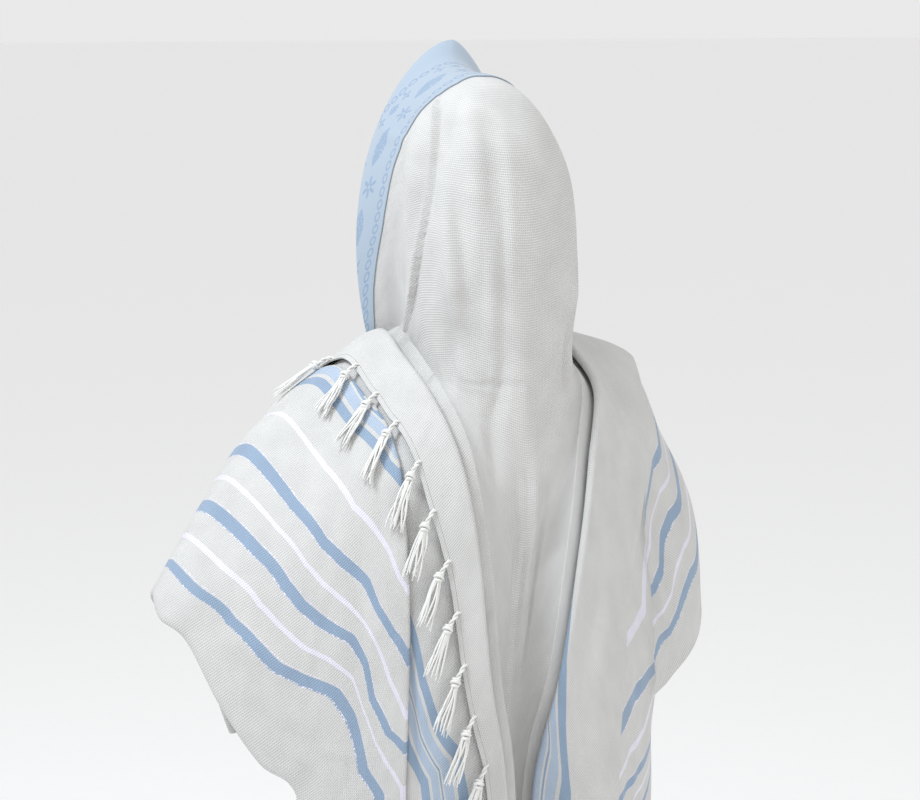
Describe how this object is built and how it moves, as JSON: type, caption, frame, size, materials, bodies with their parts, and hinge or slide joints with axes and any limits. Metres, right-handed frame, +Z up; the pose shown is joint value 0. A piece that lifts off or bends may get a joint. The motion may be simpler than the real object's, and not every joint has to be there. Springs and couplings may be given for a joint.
{
  "type": "prayer shawl",
  "caption": "Striped prayer shawl draped over the head and both arms, with a satin neckband at the face, turned-back fringed ends and knotted corner cords.",
  "frame": {"origin": "inside of the cloth at the crown of the wearer's head, where the shawl is held", "axes": "+Z up, the wearer faces -Y, the wearer's left arm is at +X"},
  "size_m": [0.6061, 0.3776, 1.5544],
  "materials": {
    "cloth": "fine waffle weave with woven stripes, slightly shiny",
    "satin": "satin",
    "thread": "twisted wool thread"
  },
  "bodies": {
    "root": {"hood_front": "cloth", "hood_rear": "cloth", "back": "cloth", "left_inner_layer": "cloth", "right_inner_upper": "cloth", "right_inner_lower": "cloth", "left_drape_front": "cloth", "left_drape_upper": "cloth", "left_drape_lower": "cloth", "left_end_upper": "cloth", "left_end_lower": "cloth", "right_end": "cloth", "right_drape_upper": "cloth", "right_drape_lower": "cloth", "neckband": "satin", "fringe_left": "thread", "fringe_right": "thread", "corner_left_front": "satin", "tzitzit_left_front": "thread", "corner_left_back": "satin", "tzitzit_left_back": "thread", "corner_right_front": "satin", "tzitzit_right_front": "thread", "corner_right_back": "satin", "tzitzit_right_back": "thread"}
  },
  "joints": []
}
